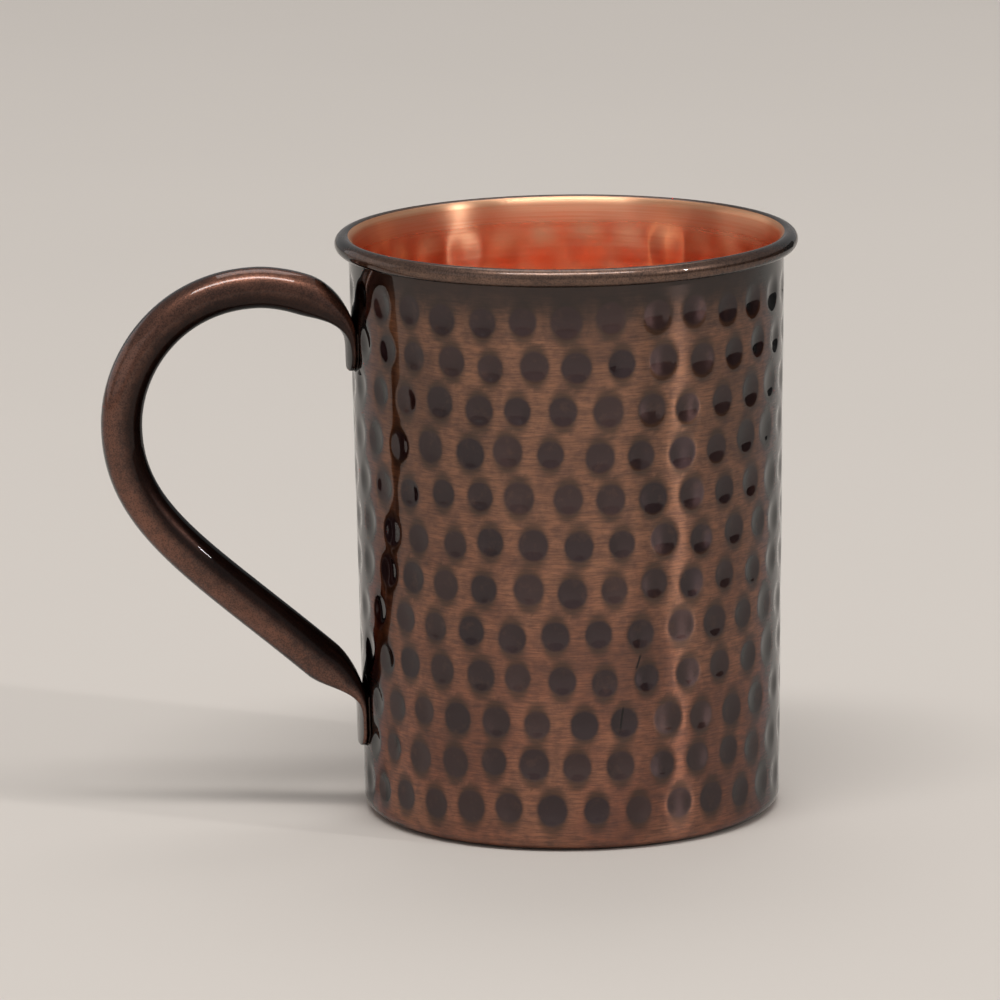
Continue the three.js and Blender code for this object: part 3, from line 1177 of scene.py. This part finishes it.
@dataclass
class Braze:
    """The filler under one tab: a film, with a small fillet that shows round the tab's edge. Metres."""

    tube: HandleTube
    side: Side
    fillet: float = 0.2 * MM
    sunk: float = 0.06 * MM
    columns: int = 96
    rows: int = 72

    def lift(self, across: float, from_tip: float, length: float) -> float:
        """Returns how far the braze stands off the wall at a spot.

        Args:
            across: Distance from the middle of the tab.
            from_tip: Distance up from the tab's tip.
            length: The length of the braze, past which it sinks away.

        Returns:
            The standoff, negative where the braze is sunk in the wall.
        """
        tube = self.tube
        half = tube.tab_width / 2
        corner = tube.tab_corner
        dx, dz = abs(across) - (half - corner), corner - from_tip
        if dz > 0 and dx > 0:
            outside = math.hypot(dx, dz) - corner
        else:
            outside = max(abs(across) - half, -from_tip)
        end = smooth(from_tip, length - 2 * self.fillet, length)
        under = self.tube.braze * 0.9
        rise = lerp(under, self.fillet, smooth(outside, -0.5 * self.fillet, 0.05 * self.fillet))
        fall = smooth(outside, 0.05 * self.fillet, self.fillet)
        return lerp(lerp(rise, -self.sunk, fall), -self.sunk, end)

    def build(self, name: str, material: Material) -> Piece:
        """Builds the braze as a closed sheet whose edge is sunk in the wall.

        Args:
            name: The piece's name.
            material: Its finish.

        Returns:
            The piece.
        """
        tube, wall = self.tube, self.tube.wall
        upper = self.side is Side.UPPER
        tip = wall.height - tube.upper_below_lip if upper else tube.lower_above_foot
        length = (tube.upper_length if upper else tube.lower_length) + 2.5 * MM
        margin = 1.3 * self.fillet
        half = tube.tab_width / 2 + margin
        points: list[Point3] = []
        for layer in range(2):
            for row in range(self.rows):
                from_tip = lerp(-margin, length, row / (self.rows - 1))
                for column in range(self.columns):
                    across = lerp(-half, half, column / (self.columns - 1))
                    lift = self.lift(across, from_tip, length) if layer else -2 * self.sunk
                    r, z = wall.off_wall(tip + from_tip, lift)
                    turn = across / r
                    points.append((-r * math.cos(turn), r * math.sin(turn), z))
        faces = []
        size = self.rows * self.columns
        for row in range(self.rows - 1):
            for column in range(self.columns - 1):
                a = row * self.columns + column
                b, c, d = a + 1, a + 1 + self.columns, a + self.columns
                faces.append((a, b, c, d))
                faces.append((size + d, size + c, size + b, size + a))
        rim = [*range(self.columns)]
        rim += [row * self.columns + self.columns - 1 for row in range(1, self.rows)]
        rim += [(self.rows - 1) * self.columns + c for c in range(self.columns - 2, -1, -1)]
        rim += [row * self.columns for row in range(self.rows - 2, 0, -1)]
        for first, second in zip(rim, rim[1:] + rim[:1]):
            faces.append((second, first, size + first, size + second))
        return new_piece(name, points, faces, [material])


# Studio


@dataclass(frozen=True)
class SoftLight:
    """A soft rectangular light. Degrees from the camera's side, positive to the right, metres and watts."""

    name: str
    azimuth: float
    elevation: float
    distance: float
    size: Point2
    power: float


SOFT_LIGHTS = (
    SoftLight("key", 64.8, 28.8, 3.2, (0.12, 0.12), 17.0),
    SoftLight("top", 0.0, 70.0, 2.4, (2.0, 0.4), 34.0),
    SoftLight("back", 180.0, 60.0, 2.4, (1.3, 1.3), 10.0),
    SoftLight("fill", -50.0, 16.0, 2.2, (1.8, 0.9), 1.6),
    SoftLight("glow", -118.0, 14.0, 2.2, (2.0, 1.0), 3.0),
)


@dataclass(frozen=True)
class BlackCard:
    """A low, curved card beside the mug that darkens reflections. Degrees like the lights', and metres."""

    start: float = 38.0
    end: float = 150.0
    distance: float = 0.62
    low: float = 0.002
    high: float = 0.2
    panels: int = 12


@dataclass
class Studio:
    """The plain floor, the soft lights and the camera."""

    azimuth: float = math.radians(-8.0)
    distance: float = 1324.8 * MM
    camera_height: float = 333.8 * MM
    yaw: float = math.radians(-0.554)
    pitch: float = math.radians(-11.769)
    roll: float = math.radians(-0.731)
    lens: float = 261.94
    floor_radius: float = 9.0
    floor_colour: Colour = hex_colour("d2cac2")
    world_colour: Colour = hex_colour("bababa")
    world_strength: float = 0.68
    aim_height: float = 50.0 * MM

    def heading(self, azimuth: float) -> Vector:
        """Returns the level direction from the mug towards an azimuth measured from the camera's side."""
        angle = self.azimuth + azimuth
        return Vector((math.sin(angle), -math.cos(angle), 0.0))

    def place_camera(self) -> None:
        """Makes the camera and makes it the scene's own."""
        data = bpy.data.cameras.new("camera")
        data.sensor_width = 36.0
        data.lens = self.lens
        data.clip_end = 50.0
        camera = new_object("camera", data)
        position = self.heading(0.0) * self.distance + Vector((0, 0, self.camera_height))
        turn = -self.azimuth + self.yaw
        forward = Vector((math.sin(turn) * math.cos(self.pitch), math.cos(turn) * math.cos(self.pitch),
                          math.sin(self.pitch)))
        level = Vector((math.cos(turn), -math.sin(turn), 0.0))
        above = level.cross(forward)
        right = level * math.cos(self.roll) + above * math.sin(self.roll)
        up = above * math.cos(self.roll) - level * math.sin(self.roll)
        axes = Matrix((right, up, -forward)).transposed().to_4x4()
        camera.matrix_world = Matrix.Translation(position) @ axes
        bpy.context.scene.camera = camera

    def place_light(self, soft: SoftLight) -> None:
        """Places a light that faces the mug and is unseen by the camera.

        Args:
            soft: Where the light is, how large and how strong.
        """
        data = bpy.data.lights.new(soft.name, "AREA")
        data.shape = "RECTANGLE"
        data.size, data.size_y = soft.size
        data.energy = soft.power
        light = new_object(soft.name, data)
        light.visible_camera = False
        lift = math.radians(soft.elevation)
        direction = self.heading(math.radians(soft.azimuth)) * math.cos(lift) + Vector((0, 0, math.sin(lift)))
        light.location = direction * soft.distance + Vector((0, 0, self.aim_height))
        light.rotation_euler = direction.to_track_quat("Z", "Y").to_euler()

    def place_floor(self) -> None:
        """Makes the pale floor with a faint paper grain."""
        sides = 96
        points = [(self.floor_radius * math.cos(2 * math.pi * i / sides),
                   self.floor_radius * math.sin(2 * math.pi * i / sides), 0.0) for i in range(sides)]
        constants = {"Roughness": 0.8, "Specular IOR Level": 0.2}
        material, graph, sockets = new_material("studio_paper", constants)
        darker = tuple(0.85 * c for c in self.floor_colour[:3]) + (1.0,)
        shade = graph.tint(self.floor_colour, darker, graph.noise(graph.place(), 3.0), (0.3, 0.7, 0.12))
        graph.put(sockets["Base Color"], shade)
        floor = new_piece("studio_floor", points, [list(range(sides))], [material])

    def light_world(self) -> None:
        """Fills the surroundings with soft pale light."""
        world = bpy.data.worlds.new("studio")
        world.use_nodes = True
        background = world.node_tree.nodes["Background"]
        background.inputs[0].default_value = self.world_colour
        background.inputs[1].default_value = self.world_strength
        bpy.context.scene.world = world

    def place_card(self, card: BlackCard) -> None:
        """Hangs the card, unseen by the camera and casting no shadow.

        Args:
            card: Where the card is, and how large.
        """
        constants = {"Base Color": (0.1, 0.1, 0.1, 1.0), "Roughness": 0.9, "Specular IOR Level": 0.0}
        material, _, _ = new_material("black_card", constants)
        points = []
        for i in range(card.panels + 1):
            foot = self.heading(math.radians(lerp(card.start, card.end, i / card.panels))) * card.distance
            points += [(foot.x, foot.y, card.low), (foot.x, foot.y, card.high)]
        faces = [(2 * i, 2 * i + 2, 2 * i + 3, 2 * i + 1) for i in range(card.panels)]
        hung = new_piece("studio_card", points, faces, [material])
        hung.visible_camera = False
        hung.visible_diffuse = False
        hung.visible_shadow = False

    def build(self) -> None:
        """Places everything."""
        self.place_camera()
        self.place_floor()
        self.light_world()
        for soft in SOFT_LIGHTS:
            self.place_light(soft)
        self.place_card(BlackCard())
        scene = bpy.context.scene
        scene.view_settings.view_transform = "Standard"
        scene.cycles.glossy_bounces = 12


def main() -> None:
    """Builds the mug round its frame, then the studio."""
    logging.basicConfig(level=logging.INFO, format="%(name)s: %(message)s")
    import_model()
    low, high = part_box("cup")
    wall = CupWall(height=high[2] - low[2], lip_radius=(high[0] - low[0]) / 2)
    effects = Effects(wall.height)

    def keep(piece: Piece, slot: str, *nodes: str) -> None:
        """Ties a finished piece to the frame and reports it.

        Args:
            piece: The piece.
            slot: The name of its material slot; not used.
            *nodes: The frame's nodes that it stands in for.
        """
        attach(piece, "root")
        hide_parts(*nodes)
        LOG.info("%s: %d faces", piece.name, len(piece.data.polygons))

    cup = Cup(wall, HammerRows())
    finishes = [finish.build(effects) for finish in (WALL_FINISH, LIP_FINISH, INSIDE_FINISH)]
    keep(cup.build(*finishes), "cup_copper", "cup")

    tube = HandleTube(wall)
    keep(tube.build(HANDLE_FINISH.build(effects)), "handle_copper", "handle_tube")
    braze = BRAZE_FINISH.build(effects)
    keep(Braze(tube, Side.UPPER).build("upper_braze_fillet", braze), "braze", "upper_braze")
    keep(Braze(tube, Side.LOWER).build("lower_braze_fillet", braze), "braze", "lower_braze")

    Studio().build()


if __name__ == "__main__":
    main()
